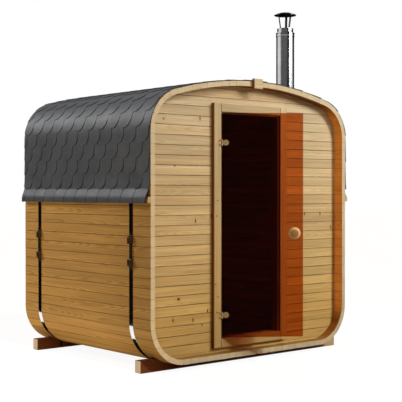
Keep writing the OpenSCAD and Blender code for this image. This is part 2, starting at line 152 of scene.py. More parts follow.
def inner_x(z):
    """Half the width of the room at height z."""
    r = CORNER_R - STAVE_T
    if z < LOW_Z:
        return CORNER_X + math.sqrt(max(r**2 - (LOW_Z - z) ** 2, 0))
    top = CROWN_R - STAVE_T
    tangent_z = ARCH_Z + top * math.cos(ARCH_A)
    if z > tangent_z:
        return math.sqrt(max(top**2 - (z - ARCH_Z) ** 2, 0))
    if z > HIGH_Z:
        return CORNER_X + math.sqrt(max(r**2 - (z - HIGH_Z) ** 2, 0))
    return SIDE_X - STAVE_T


# Mesh building ---


class Builder:
    """Gathers solids into one mesh, with each point's place in its board and its board's lot."""

    def __init__(self):
        self.points, self.faces, self.grain, self.tone = [], [], [], []

    def add(self, points, faces, grain, tone):
        start = len(self.points)
        self.points += points
        self.faces += [tuple(start + i for i in face) for face in faces]
        self.grain += grain
        self.tone += [tone] * len(points)

    def make(self, name, material, node, slot, sharp=20):
        mesh = mesh_of(name, self.points, self.faces)
        write_attribute(mesh, "grain", self.grain)
        write_attribute(mesh, "tone", self.tone)
        finish_piece(mesh, name, material, "root", node, sharp)


def mesh_of(name, points, faces):
    mesh = bpy.data.meshes.new(name)
    mesh.from_pydata(points, [], faces)
    return mesh


def write_attribute(mesh, name, rows):
    layer = mesh.attributes.new(name, "FLOAT_VECTOR", "POINT")
    layer.data.foreach_set("vector", [v for row in rows for v in row])


def finish_piece(mesh, name, material, body, node, sharp):
    """A visible piece, whose edges bent by more than sharp degrees stay crisp."""
    mesh.update()
    mesh.shade_smooth()
    mesh.set_sharp_from_angle(angle=math.radians(sharp))
    mesh.materials.clear()
    mesh.materials.append(material)
    piece = shown(name, mesh)
    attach(piece, body)
    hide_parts(node)


def lot():
    return rng.random(), rng.random(), rng.random()


def loft(rings):
    """A solid between equal rings of points, closed by the first and last ring."""
    n = len(rings[0])
    points = [p for ring in rings for p in ring]
    last = len(points) - n
    faces = []
    for k in range(0, last, n):
        for i in range(n):
            j = (i + 1) % n
            faces.append((k + i, k + j, k + n + j, k + n + i))
    faces.append(tuple(reversed(range(n))))
    faces.append(tuple(range(last, last + n)))
    return points, faces


def circle(x, y, r, z, n, shift=0.0):
    """A level ring of n points."""
    turns = [math.tau * (i + shift) / n for i in range(n)]
    return [(x + r * math.cos(a), y + r * math.sin(a), z) for a in turns]


def outward(points, faces):
    """The same faces, all turned outwards."""
    bm = bmesh.new()
    made = [bm.verts.new(p) for p in points]
    for face in faces:
        bm.faces.new([made[i] for i in face])
    bmesh.ops.recalc_face_normals(bm, faces=bm.faces)
    bm.verts.index_update()
    turned = [tuple(v.index for v in face.verts) for face in bm.faces]
    bm.free()
    return turned


def sided(side, points, faces):
    """A solid, or its mirror image where side is -1."""
    points = [(side * x, y, z) for x, y, z in points]
    return points, [tuple(reversed(face)) for face in faces] if side < 0 else faces


def holed(points, faces, x, y, r):
    """Cuts an upright round hole through a solid and returns its points and faces."""
    z = sum(p[2] for p in points) / len(points)
    tool_points, tool_faces = loft([circle(x, y, r, z + dz, 64) for dz in (-0.3, 0.3)])
    solid = shown("solid", mesh_of("solid", points, faces))
    tool = shown("tool", mesh_of("tool", tool_points, outward(tool_points, tool_faces)))
    cut = solid.modifiers.new("cut", "BOOLEAN")
    cut.solver = "EXACT"
    cut.object = tool
    bpy.context.view_layer.update()
    result = solid.evaluated_get(bpy.context.evaluated_depsgraph_get()).to_mesh()
    new_points = [tuple(v.co) for v in result.vertices]
    new_faces = [tuple(p.vertices) for p in result.polygons]
    solid.to_mesh_clear()
    # Removing a mesh removes its object too
    for thing in (solid, tool):
        bpy.data.meshes.remove(thing.data)
    return new_points, new_faces


def refined(node, form, material, body="root", bevel=0.0, axis=2, sharp=25):
    """A copy of a CAD node with its flats joined up, its edges eased and its grain laid along an axis."""
    bm = bmesh.new()
    bm.from_mesh(nodes[node].data)
    bmesh.ops.remove_doubles(bm, verts=bm.verts, dist=0.00002)
    bmesh.ops.dissolve_limit(bm, angle_limit=math.radians(0.5), verts=bm.verts, edges=bm.edges)
    if bevel:
        edges = [e for e in bm.edges if len(e.link_faces) == 2 and e.calc_face_angle(0) > math.radians(30)]
        bmesh.ops.bevel(
            bm, geom=edges, offset=bevel, segments=2, profile=0.5, affect="EDGES", clamp_overlap=True
        )
    name = node + "_" + form
    mesh = bpy.data.meshes.new(name)
    bm.to_mesh(mesh)
    bm.free()
    b, c = [i for i in range(3) if i != axis]
    middle = [(low(node)[i] + high(node)[i]) / 2 for i in range(3)]
    shift = rng.random() * 20
    grain = [(v.co[axis] + shift, v.co[b] - middle[b], v.co[c] - middle[c]) for v in mesh.vertices]
    write_attribute(mesh, "grain", grain)
    write_attribute(mesh, "tone", [lot()] * len(mesh.vertices))
    finish_piece(mesh, name, material, body, node, sharp)


# Materials ---


def linear(r, g, b):
    """Linear colour of 8-bit screen values."""
    out = []
    for v in (r, g, b):
        c = v / 255
        out.append(c / 12.92 if c <= 0.04045 else ((c + 0.055) / 1.055) ** 2.4)
    return (*out, 1)


WHITE = (1, 1, 1, 1)


def dimmed(colour, part):
    return (*(part * v for v in colour[:3]), 1)


class Net:
    """Short hand for the nodes of a new material, or of a given tree."""

    def __init__(self, name, tree=None):
        if tree:
            self.tree = tree
            return
        self.material = bpy.data.materials.new(name)
        self.material.use_nodes = True
        self.tree = self.material.node_tree
        self.shader = self.tree.nodes["Principled BSDF"]
        self.place = self.node("TexCoord").outputs["Object"]

    def node(self, kind, links=None, **settings):
        made = self.tree.nodes.new("ShaderNode" + kind)
        for key, value in settings.items():
            setattr(made, key, value)
        for key, value in (links or {}).items():
            self.set(made.inputs[key], value)
        return made

    def set(self, socket, value):
        if isinstance(value, bpy.types.NodeSocket):
            self.tree.links.new(value, socket)
        else:
            socket.default_value = value

    def put(self, name, value):
        self.set(self.shader.inputs[name], value)

    def surface(self, colour, roughness, specular=0.5):
        self.put("Base Color", colour)
        self.put("Roughness", roughness)
        self.put("Specular IOR Level", specular)
        return self.material

    def end(self, shader):
        """Makes a shader the material's surface."""
        self.set(self.tree.nodes["Material Output"].inputs["Surface"], shader.outputs[0])

    def blend(self, factor, a, b):
        return self.node("MixShader", {0: factor, 1: a.outputs[0], 2: b.outputs[0]})

    def math(self, operation, a, b=0, c=0):
        return self.node("Math", {0: a, 1: b, 2: c}, operation=operation).outputs[0]

    def times(self, a, b):
        return self.math("MULTIPLY", a, b)

    def fused(self, a, b, c):
        """a times b, plus c."""
        return self.math("MULTIPLY_ADD", a, b, c)

    def vector(self, operation, a, b=(0, 0, 0)):
        made = self.node("VectorMath", {0: a, 1: b}, operation=operation)
        return made.outputs["Value" if operation == "LENGTH" else 0]

    def scaled(self, vector, x, y, z):
        return self.vector("MULTIPLY", vector, (x, y, z))

    def noise(self, vector, scale=1, detail=2, roughness=0.5, colour=False):
        links = {"Vector": vector, "Scale": scale, "Detail": detail, "Roughness": roughness}
        return self.node("TexNoise", links).outputs["Color" if colour else "Fac"]

    def span(self, value, a, b, c=0, d=1, smooth=False):
        """Maps a value from a..b to c..d."""
        links = {"Value": value, "From Min": a, "From Max": b, "To Min": c, "To Max": d}
        kind = "SMOOTHSTEP" if smooth else "LINEAR"
        return self.node("MapRange", links, interpolation_type=kind).outputs["Result"]

    def mix(self, factor, a, b, blend="MIX"):
        links = {0: factor, 6: a, 7: b}
        return self.node("Mix", links, data_type="RGBA", blend_type=blend).outputs[2]

    def tinted(self, colour, tint):
        return self.mix(1, colour, tint, "MULTIPLY")

    def bump(self, height, distance, strength):
        made = self.node("Bump", {"Height": height, "Distance": distance, "Strength": strength})
        self.put("Normal", made.outputs[0])

    def attribute(self, name):
        return self.node("Attribute", attribute_name=name).outputs["Vector"]

    def normal(self):
        return self.split(self.node("NewGeometry").outputs["Normal"])

    def split(self, vector):
        return self.node("SeparateXYZ", {0: vector}).outputs

    def join(self, x, y, z):
        return self.node("CombineXYZ", {0: x, 1: y, 2: z}).outputs[0]

    def seen(self):
        """1 for a ray from the camera, straight or by gloss or glass, but not by a matt surface."""
        path = self.node("LightPath").outputs
        direct = self.math("MAXIMUM", path["Is Camera Ray"], path["Is Glossy Ray"])
        direct = self.math("MAXIMUM", direct, path["Is Transmission Ray"])
        return self.times(direct, self.math("LESS_THAN", path["Diffuse Depth"], 0.5))

    def cells(self, grain, tone, size, lots, stretch):
        """Distance from the one point of each cell along a board, and the cell's own draws."""
        spot = self.vector("ADD", self.scaled(grain, *size), self.scaled(tone, *lots))
        voronoi = self.node("TexVoronoi", {"Vector": spot, "Scale": 1}, feature="F1")
        away = self.vector("SUBTRACT", spot, voronoi.outputs["Position"])
        away = self.scaled(away, *(s / length for s, length in zip(stretch, size)))
        return self.vector("LENGTH", away), self.split(voronoi.outputs["Color"])


def wood(name, early, late, end=None, end_axis=1, rings=270, knots=0.3, ticks=0.03, streak=0.22,
         figure=0.22, joint=0, painted_height_shade=0, inner=(), edges=False, painted_light_fades=(), fixed=()):
    """Sawn softwood: rings round a wandering pith, fibres, knots and lots of differing tone.

    figure: how strongly the rings show. joint: how dark the long edges of a board are.
    aged: painted shade, how much darker and deeper in colour the wood is painted near the ground than under
    the roof, for light that falls off downwards.
    inner: painted shade, as tints that make faces turned to the middle of the room darker and redder, level
    ones and upright ones.
    edges: these painted shade tints go to all upright edges and undersides instead.
    fades: painted light and shade, as tints that set in along an axis, each as the axis, its start, where it
    is whole, and the tint.
    fixed: knots at a place of their own, as centres and half widths along X, Y and Z.
    """
    net = Net(name)
    mix, span, calc, times, fused = net.mix, net.span, net.math, net.times, net.fused
    early, late = linear(*early), linear(*late)
    where = net.split(net.place)
    normal = net.normal()
    grain = net.attribute("grain")
    tone = net.attribute("tone")

    def grainy(x, y, lots=(0, 0, 0), **settings):
        """Noise drawn out along the board."""
        return net.noise(net.vector("ADD", net.scaled(grain, x, y, y), lots), **settings)

    along, across, depth = net.split(grain)
    lot_a, lot_b, lot_c = net.split(tone)
    # The pith wanders along the board
    course = net.join(times(along, 0.9), times(lot_a, 60), lot_b)
    wander = net.split(net.noise(course, detail=1.5, colour=True))
    pith_b = fused(calc("SUBTRACT", lot_b, 0.5), 0.11, across)
    pith_b = fused(calc("SUBTRACT", wander[0], 0.5), 0.09, pith_b)
    pith_c = fused(lot_c, 0.07, calc("ADD", depth, 0.028))
    pith_c = fused(calc("SUBTRACT", wander[1], 0.5), 0.07, pith_c)
    radius = calc("SQRT", calc("ADD", times(pith_b, pith_b), times(pith_c, pith_c)))
    # Knots: one drawn per cell, and most cells stay empty
    reach, draw = net.cells(grain, tone, (3, 11, 11), (31, 17, 0), (0.75, 1, 0.25))
    present = calc("LESS_THAN", draw[0], knots)
    ratio = calc("DIVIDE", reach, fused(times(draw[1], draw[1]), 0.008, 0.0028))
    core = times(present, span(ratio, 0.75, 1.15, 1, 0, True))
    halo = times(present, span(ratio, 1, 3.6, 1, 0, True))
    for centre, half in fixed:
        off = net.scaled(net.vector("SUBTRACT", net.place, centre), *(1 / h for h in half))
        off = net.vector("LENGTH", off)
        core = calc("MAXIMUM", core, span(off, 0.75, 1.15, 1, 0, True))
        halo = calc("MAXIMUM", halo, span(off, 1, 3.2, 1, 0, True))
    # Short upright chatter marks of the planer, mostly missing too
    reach, draw = net.cells(grain, tone, (6, 14, 14), (13, 41, 0), (1 / 0.0022, 1 / 0.011, 0))
    tick = times(calc("LESS_THAN", draw[0], ticks), span(reach, 0.6, 1.3, 0.7, 0, True))
    # Rings, bent round the knots
    count = fused(grainy(2.5, 26), 1.3, times(radius, rings))
    phase = calc("FRACT", fused(halo, 1.6, count))
    ring = times(span(phase, 0.35, 0.88, 0, 1, True), span(phase, 0.9, 1, 1, 0, True))
    # Fibres, veins and long streaks
    fibre = grainy(5, 420, detail=3, roughness=0.6)
    streaks = grainy(1.1, 30, tone, detail=3, roughness=0.55)
    cloud = grainy(0.9, 5, net.scaled(tone, 9, 5, 3), detail=1)
    vein = grainy(1.5, 110, tone, detail=3, roughness=0.65)
    colour = mix(times(ring, figure), early, late)
    colour = mix(span(streaks, 0.35, 0.75, 0, 0.36), colour, late)
    shade = fused(calc("SUBTRACT", fibre, 0.5), streak, 1)
    for part in ((vein, 0.3, 0.7, 0.84, 1.11), (cloud, 0.3, 0.7, 0.9, 1.08), (lot_a, 0, 1, 0.93, 1.07)):
        shade = times(shade, span(*part))
    colour = net.tinted(colour, shade)
    if joint:
        # Boards meet in an uneven dark line
        half = COURSE / 2
        edge = span(calc("ABSOLUTE", across), half - 0.0044, half - 0.0012, smooth=True)
        uneven = grainy(4, 0, tone, detail=3, roughness=0.7)
        edge = times(edge, span(uneven, 0.36, 0.62, 0.35 * joint, joint))
        colour = mix(edge, colour, dimmed(late, 0.12))
    # Painted light and shade: tints that darken or lighten the wood along an axis where the light falls less
    # or more.
    for axis, start, whole, tint in painted_light_fades:
        fade = span(where[axis], start, whole, smooth=True)
        colour = net.tinted(colour, mix(fade, WHITE, tint))
    if end:
        # Sawn ends are paler than the planed faces
        facing = span(calc("ABSOLUTE", normal[end_axis]), 0.8, 0.97)
        sawn = mix(times(ring, 0.35), linear(*end), late)
        sawn = mix(span(cloud, 0.3, 0.7, 0, 0.15), sawn, late)
        colour = mix(facing, colour, sawn)
    colour = mix(times(halo, 0.28), colour, late)
    colour = mix(tick, colour, dimmed(late, 0.45))
    colour = mix(times(core, 0.96), colour, dimmed(late, 0.09))
    # Painted shade: darker and deeper in colour towards the ground, for light that falls off downwards.
    if painted_height_shade:
        height = span(where[2], LOW_Z, CROWN_Z, painted_height_shade, -0.6 * painted_height_shade)
        colour = net.tinted(colour, net.join(*(fused(height, f, 1) for f in (-0.06, -0.19, -0.52))))
    # Painted shade: faces turned into the room, or all upright edges and undersides, are tinted darker and
    # redder as the shade that falls there.
    if edges:
        turned = calc("MAXIMUM", calc("ABSOLUTE", normal[0]), times(normal[2], -1))
        turned = times(turned, -1)
    elif inner:
        rise = calc("MAXIMUM", calc("SUBTRACT", where[2], (LOW_Z + CROWN_Z) / 2), 0)
        turned = calc("ADD", times(normal[0], where[0]), times(normal[2], rise))
    if inner:
        painted_shade_tint = mix(calc("ABSOLUTE", normal[0]), *inner)
        painted_shade_tint = mix(span(turned, -0.15, -0.4), WHITE, painted_shade_tint)
        colour = net.tinted(colour, painted_shade_tint)
    net.bump(fused(core, -0.5, fused(ring, 0.35, fibre)), 0.0005, 0.55)
    return net.surface(colour, span(ring, 0, 1, 0.67, 0.54), 0.16)


def knob_material():
    """Turned wood: rings round the knob's own axis on its darker face, and a pale rim that is a painted
    highlight of light caught on the knob's edge.
    """
    net = Net("knob_birch")
    lo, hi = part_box("door_knobs")
    pane_lo, pane_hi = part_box("door_glass")
    swing = math.atan2(pane_hi.y - pane_lo.y, pane_hi.x - pane_lo.x)
    axis = Vector((-math.sin(swing), -math.cos(swing), 0))
    off = net.vector("SUBTRACT", net.place, (lo + hi) / 2)
    radius = net.vector("LENGTH", net.vector("CROSS_PRODUCT", off, axis))
    wobble = net.noise(net.place, scale=28)
    wave = net.math("SINE", net.fused(radius, 900, net.times(wobble, 5)))
    fibre = net.noise(net.place, scale=260, detail=3)
    colour = net.mix(net.span(wave, -1, 1, 0.1, 0.75), linear(186, 136, 78), linear(138, 88, 38))
    # The flat face ends about a third of the knob's width from its axis
    face_r = 0.34 * (hi.z - lo.z)
    # Painted highlight: the rim beyond the face is painted pale, as light caught by the eased edge.
    rim = net.span(radius, face_r - 0.003, face_r + 0.001, smooth=True)
    colour = net.mix(rim, colour, net.mix(fibre, linear(222, 188, 138), linear(204, 164, 108)))
    net.bump(net.fused(wave, 0.3, fibre), 0.0004, 0.5)
    return net.surface(colour, net.span(fibre, 0.3, 0.7, 0.42, 0.52), 0.25)


def shingle_material():
    """Bitumen felt with a mineral grain, and painted shade on the tabs' edges."""
    net = Net("shingle_felt")
    tone = net.split(net.attribute("tone"))
    fine = net.noise(net.place, scale=900, roughness=0.7)
    coarse = net.noise(net.place, scale=260, roughness=0.6)
    cloud = net.noise(net.place, scale=7, detail=3, roughness=0.6)
    patch = net.noise(net.place, scale=75, roughness=0.6)
    speck = net.span(fine, 0.35, 0.68)
    colour = net.mix(speck, linear(46, 49, 54), linear(92, 97, 105))
    colour = net.mix(net.span(coarse, 0.4, 0.72, 0, 0.5), colour, linear(42, 45, 50))
    shade = net.times(net.span(cloud, 0.3, 0.7, 0.88, 1.12), net.span(tone[0], 0, 1, 0.92, 1.08))
    shade = net.times(shade, net.span(patch, 0.3, 0.7, 0.84, 1.16))
    colour = net.tinted(colour, shade)
    # Painted shade: the tabs' edges that face along the rows are painted near black, as the shade under the
    # tab ends.
    cut = net.span(net.math("ABSOLUTE", net.normal()[1]), 0.35, 0.6)
    colour = net.mix(cut, colour, linear(14, 14, 15))
    net.bump(net.fused(coarse, 0.6, fine), 0.001, 0.5)
    return net.surface(colour, net.span(cloud, 0.3, 0.7, 0.44, 0.54), 0.24)


def metal(name, colour, roughness, brushed, metallic=1, spread=0.08, bump=0.0001):
    """Metal with fine drawing lines, faint clouds and uneven gloss."""
    net = Net(name)
    colour = linear(*colour)
    lines = net.noise(net.scaled(net.place, *brushed), detail=3, roughness=0.6)
    cloud = net.noise(net.place, scale=9, detail=3, roughness=0.6)
    colour = net.mix(net.span(cloud, 0.35, 0.7, 0, 0.7), colour, dimmed(colour, 0.82))
    gloss = net.fused(net.math("SUBTRACT", lines, 0.5), spread, roughness)
    net.put("Metallic", metallic)
    net.bump(lines, bump, 0.35)
    return net.surface(colour, net.math("ADD", gloss, net.span(cloud, 0.3, 0.8, 0, spread * 0.6)))


def glass_material():
    """Bronze toughened glass, with a trace of dust in its gloss."""
    net = Net("bronze_glass")
    cloud = net.noise(net.place, scale=5, detail=3)
    tint = net.mix(net.span(cloud, 0.3, 0.7), linear(206, 118, 62), linear(210, 122, 66))
    net.put("IOR", 1.5)
    net.put("Transmission Weight", 1)
    # Lamps reach through the pane, dimmed and tinted
    clear = net.node("BsdfTransparent", {"Color": linear(150, 92, 60)})
    shadow = net.node("LightPath").outputs["Is Shadow Ray"]
    net.end(net.blend(shadow, net.shader, clear))
    return net.surface(tint, net.span(cloud, 0.3, 0.8, 0, 0.012))


# Painted shade: the staves darken towards the front rim, and their faces that look into the room are tinted
# darker and redder.
stave_wood = wood(
    "stave_spruce", (188, 147, 76), (128, 84, 34), end=(210, 191, 153), knots=0.02,
    ticks=0.18, figure=0.4, streak=0.3, joint=0.6,
    painted_light_fades=[(1, RIM_Y + 0.75, RIM_Y + 0.05, (0.76, 0.74, 0.66, 1))],
    inner=((0.8, 0.37, 0.15, 1), (1.25, 0.85, 0.55, 1)),
)
# Dark upright knots and small round ones of the front wall, and small ones on the left jamb
TALL_KNOT = (0.0055, 0.02, 0.014)
ROUND_KNOT = (0.006, 0.02, 0.006)
JAMB_KNOT = (0.008, 0.01, 0.004)
wall_knots = [((x, WALL_Y, z), TALL_KNOT) for x, z in (
    (-0.557, 1.108), (-0.396, 1.14), (-0.436, 0.416), (-0.776, 0.372), (-0.582, 0.359), (-0.512, 1.885),
    (0.636, 1.146), (0.826, 1.143), (0.958, 1.026),
)]
wall_knots += [((x, WALL_Y, z), ROUND_KNOT) for x, z in (
    (-0.758, 1.522), (-0.492, 0.313), (-0.864, 1.866),
)]
jamb_knots = [((x, WALL_Y - 0.03, z), JAMB_KNOT) for x, z in (
    (-0.358, 1.261), (-0.368, 1.142), (-0.381, 0.618), (-0.356, 0.52), (-0.366, 0.402),
)]
# Painted shade: the wall boards darken towards the left, take a warm shade under the crown, and grow darker
# and deeper in colour towards the ground.
wall_wood = wood(
    "wall_spruce", (211, 187, 141), (164, 114, 58), knots=0.04, joint=0.85, painted_height_shade=1,
    painted_light_fades=[
        (0, 0.3, -0.9, (0.88, 0.87, 0.86, 1)),
        (2, FRAME_HIGH_Z - 0.02, CROWN_Z - 0.06, (0.98, 0.84, 0.68, 1)),
    ],
    fixed=wall_knots,
)
# Painted shade: the frame darkens towards the left and the ground, and its upright edges and undersides are
# tinted dark and red.
frame_wood = wood(
    "frame_spruce", (197, 174, 129), (176, 128, 74), knots=0.05, rings=330, painted_height_shade=0.8,
    painted_light_fades=[(0, -0.05, -0.35, (0.85, 0.85, 0.84, 1))],
    inner=((0.36, 0.15, 0.06, 1), (0.42, 0.22, 0.1, 1)), edges=True, fixed=jamb_knots,
)
# Painted shade and light: the skids are painted dark as the shade under the body, and a tint paints their
# right ends pale where light reaches them.
skid_wood = wood(
    "skid_pine", (112, 58, 27), (74, 38, 15), end=(214, 196, 168), end_axis=0,
    knots=0.35, rings=220, painted_light_fades=[(0, SIDE_X - 0.16, SIDE_X - 0.1, (3.8, 9, 17, 1))],
)
knob_wood = knob_material()
shingle_felt = shingle_material()
fitting_steel = metal("fitting_blackened", (110, 92, 70), 0.22, (120, 120, 120), metallic=0.8)
# Painted reflection: the rain cap's steel is made dark, as the dark surroundings it mirrors, on top of the
# screens it reflects.
cap_steel = metal("cap_steel", (84, 84, 86), 0.25, (6, 6, 400))
flue_steel = metal("flue_stainless", (205, 205, 208), 0.15, (6, 6, 400), bump=0.00004)
hinge_steel = metal("hinge_nickel", (188, 154, 110), 0.42, (90, 90, 90), metallic=0.35)
plate_steel = metal("plate_brass", (206, 168, 116), 0.5, (90, 90, 90), metallic=0.25)
strap_steel = metal("strap_stainless", (226, 225, 223), 0.1, (60, 60, 4), spread=0.05)
bronze_glass = glass_material()

# Staves ---

CHAMFER = 0.0014
# Half the open joint between boards, and its depth
GAP = 0.0006
GAP_DEEP = 0.008
flue_low, flue_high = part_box("flue_pipe")
FLUE_X = (flue_low.x + flue_high.x) / 2
FLUE_Y = (flue_low.y + flue_high.y) / 2
FLUE_HOLE_R = (flue_high.x - flue_low.x) / 2 - 0.0015
FLUE_NEAR = 0.09


def stave_section(t0, t1, curved):
    """Section of a stave as length and depth, with eased edges and a narrow open joint."""
    a, b = t0 + GAP, t1 - GAP
    first, last = a + CHAMFER, b - CHAMFER
    inner = -STAVE_T
    n = 4 if curved else 1
    face = [first + (last - first) * i / n for i in range(n + 1)]
    section = [(t, 0) for t in face]
    section += [(b, -CHAMFER), (b, -GAP_DEEP), (t1, -GAP_DEEP - 0.001), (t1, inner + 0.007)]
    section += [(b, inner + 0.006), (b, inner + CHAMFER)]
    section += [(t, inner) for t in reversed(face)]
    section += [(a, inner + CHAMFER), (a, inner + 0.006), (t0, inner + 0.007)]
    section += [(t0, -GAP_DEEP - 0.001), (a, -GAP_DEEP), (a, -CHAMFER)]
    return section


def joints():
    """Joints of the staves from the middle of the crown down to the middle of the floor."""
    first = CORNER_END + HIGH_Z - (COURSE_Z + COURSE * math.floor((HIGH_Z - COURSE_Z) / COURSE))
    t = first - COURSE * math.floor(first / COURSE)
    found = [0.0]
    while t < ROUND_END - 0.02:
        found.append(t)
        t += COURSE
    return found + [ROUND_END]


def add_stave(builder, t0, t1):
    """One stave between two joints, with its ends drawn in a little and eased."""
    middle = (t0 + t1) / 2
    half = abs(t1 - t0) / 2
    far = abs(middle)
    curved = CROWN_END - half < far < CORNER_END + half or SIDE_END - half < far < LOW_END + half
    section = stave_section(min(t0, t1), max(t0, t1), curved)
    ease = 0.0005
    short = rng.random() * 0.0006
    y0, y1 = RIM_Y + short, BACK_Y - short
    rings = []
    for y, pull in ((y0, ease), (y0 + ease, 0), (y1 - ease, 0), (y1, ease)):
        ring = []
        for t, d in section:
            tt = middle + (t - middle) * (1 - pull / half)
            dd = -STAVE_T / 2 + (d + STAVE_T / 2) * (1 - pull / (STAVE_T / 2))
            x, z = on_round(tt, dd)
            ring.append((x, y, z))
        rings.append(ring)
    points, faces = loft(rings)
    faces = outward(points, faces)
    xs = [p[0] for p in points]
    if min(xs) < FLUE_X + FLUE_NEAR and max(xs) > FLUE_X - FLUE_NEAR and points[0][2] > HIGH_Z:
        points, faces = holed(points, faces, FLUE_X, FLUE_Y, FLUE_HOLE_R)
    tone = lot()
    shift = tone[0] * 37
    x_mid, z_mid = on_round(middle, 0)
    x_out, z_out = on_round(middle, 1)
    nx, nz = x_out - x_mid, z_out - z_mid
    grain = []
    for x, y, z in points:
        dx, dz = x - x_mid, z - z_mid
        grain.append((y + shift, dx * nz - dz * nx, -(dx * nx + dz * nz)))
    builder.add(points, faces, grain, tone)


def make_staves():
    groups = [("crown_staves", 0, CROWN_END, (-1, 1))]
    for name, start, end in (
        ("corner_high", CROWN_END, CORNER_END), ("side_staves", CORNER_END, SIDE_END),
        ("corner_low", SIDE_END, LOW_END),
    ):
        groups += [(name + "_left", start, end, (-1,)), (name + "_right", start, end, (1,))]
    groups.append(("floor_staves", LOW_END, ROUND_END, (-1, 1)))
    edges = joints()
    for node, start, end, sides in groups:
        builder = Builder()
        for side in sides:
            for t0, t1 in zip(edges, edges[1:]):
                if start <= (t0 + t1) / 2 < end:
                    add_stave(builder, side * t0, side * t1)
        builder.make(node + "_boards", stave_wood, node, "stave_wood")


# End walls ---


def board_section(z0, z1, y0, open_low=True, open_high=True):
    """Section of a wall board as Y and Z, front face first, with points for the ends to follow."""
    y1 = y0 + WALL_T
    c = CHAMFER
    g = GAP if open_low else 0
    h = GAP if open_high else 0
    face = [z0 + g + c * open_low] + [z0 + (z1 - z0) * i / 5 for i in range(1, 5)] + [z1 - h - c * open_high]
    section = [(y0, z) for z in face]
    if open_high:
        section += [(y0 + c, z1 - h), (y0 + GAP_DEEP, z1 - h), (y0 + GAP_DEEP + 0.001, z1)]
        section += [(y1 - 0.007, z1), (y1 - 0.006, z1 - h), (y1 - c, z1 - h)]
    section += [(y1, z) for z in reversed(face)]
    if open_low:
        section += [(y1 - c, z0 + g), (y1 - 0.006, z0 + g), (y1 - 0.007, z0)]
        section += [(y0 + GAP_DEEP + 0.001, z0), (y0 + GAP_DEEP, z0 + g), (y0 + c, z0 + g)]
    return section


def add_board(builder, section, tone, left=None, right=None):
    """A board from left to right, or to the staves where an end has no place."""
    rings = [
        [(-inner_x(z) if left is None else left, y, z) for y, z in section],
        [(inner_x(z) if right is None else right, y, z) for y, z in section],
    ]
    points, faces = loft(rings)
    z_mid = sum(z for y, z in section) / len(section)
    y_low = min(y for y, z in section)
    grain = [(p[0] + tone[0] * 37, p[2] - z_mid, p[1] - y_low) for p in points]
    builder.add(points, outward(points, faces), grain, tone)


def courses():
    """Lower and upper height of each board of an end wall."""
    bottom = BELLY_Z + STAVE_T
    top = CROWN_Z - STAVE_T - 0.0002
    k = math.floor((bottom - COURSE_Z) / COURSE)
    out = []
    while COURSE_Z + COURSE * k < top - 0.002:
        out.append((max(COURSE_Z + COURSE * k, bottom), min(COURSE_Z + COURSE * (k + 1), top)))
        k += 1
    return out


def make_front_wall():
    parts = {n: Builder() for n in ("left", "right", "over_door", "under_door")}
    for z0, z1 in courses():
        tones = lot(), lot()
        wide = board_section(z0, z1, WALL_Y)
        if z1 <= FRAME_LOW_Z or z0 >= FRAME_HIGH_Z:
            name = "under_door" if z1 <= FRAME_LOW_Z else "over_door"
            add_board(parts[name], wide, tones[0])
            continue
        below = z0 < FRAME_LOW_Z
        above = z1 > FRAME_HIGH_Z
        add_board(parts["left"], wide, tones[0], right=-FRAME_X)
        add_board(parts["right"], wide, tones[0] if below or above else tones[1], left=FRAME_X)
        if below:
            piece = board_section(z0, FRAME_LOW_Z, WALL_Y, open_high=False)
            add_board(parts["under_door"], piece, tones[0], -FRAME_X, FRAME_X)
        if above:
            piece = board_section(FRAME_HIGH_Z, z1, WALL_Y, open_low=False)
            add_board(parts["over_door"], piece, tones[0], -FRAME_X, FRAME_X)
    for name, builder in parts.items():
        builder.make("front_boards_" + name, wall_wood, "front_wall_" + name, "wall_wood")


def make_back_wall():
    builder = Builder()
    for z0, z1 in courses():
        section = board_section(z0, z1, BACK_WALL_Y)
        mirrored = [(2 * BACK_WALL_Y + WALL_T - y, z) for y, z in section]
        add_board(builder, mirrored, lot())
    builder.make("back_boards", wall_wood, "back_wall", "wall_wood")


make_staves()
make_front_wall()
make_back_wall()

# Frame, battens, blocks and skids ---

for ends, material, slot, bevel, axis in (
    (("door_jamb_left", "door_jamb_right"), frame_wood, "frame_wood", 0.0025, 2),
    (("door_head", "door_threshold"), frame_wood, "frame_wood", 0.0025, 0),
    (("eave_batten_left", "eave_batten_right"), frame_wood, "frame_wood", 0.0015, 1),
    (("ridge_block_front", "ridge_block_back"), frame_wood, "frame_wood", 0.0015, 0),
    (("skid_front", "skid_back"), skid_wood, "skid_wood", 0.004, 0),
):
    for node in ends:
        refined(node, "timber", material, bevel=bevel, axis=axis)
batten_top = high("eave_batten_right")
for side in ("left", "right"):
    # The top arris is planed off under the leaning row
    for v in bpy.data.objects["eave_batten_" + side + "_timber"].data.vertices:
        if v.co.z > batten_top.z - 0.004 and abs(v.co.x) > batten_top.x - 0.004:
            v.co.x *= 1 - 0.006 / abs(v.co.x)

# Shingles ---

EXPOSED = 0.1133
SLIT = 0.0045
FELT_T = 0.0032
EAVE_FELT_T = 0.0042
LIFT = 0.0066
EAVE_Z = low("shingles_eave_right").z
KICK_Z = high("shingles_eave_right").z
BATTEN_T = high("eave_batten_right").x - SIDE_X
KICK_T = CORNER_END + HIGH_Z - KICK_Z
TAB_W = (BACK_Y - RIM_Y) / 11.4
TAIL = 0.078
FIRST_Y = RIM_Y + 0.012


def smooth(f, a, b):
    """0 below a and 1 above b, with a soft rise between."""
    t = min(max((f - a) / (b - a), 0), 1)
    return t * t * (3 - 2 * t)


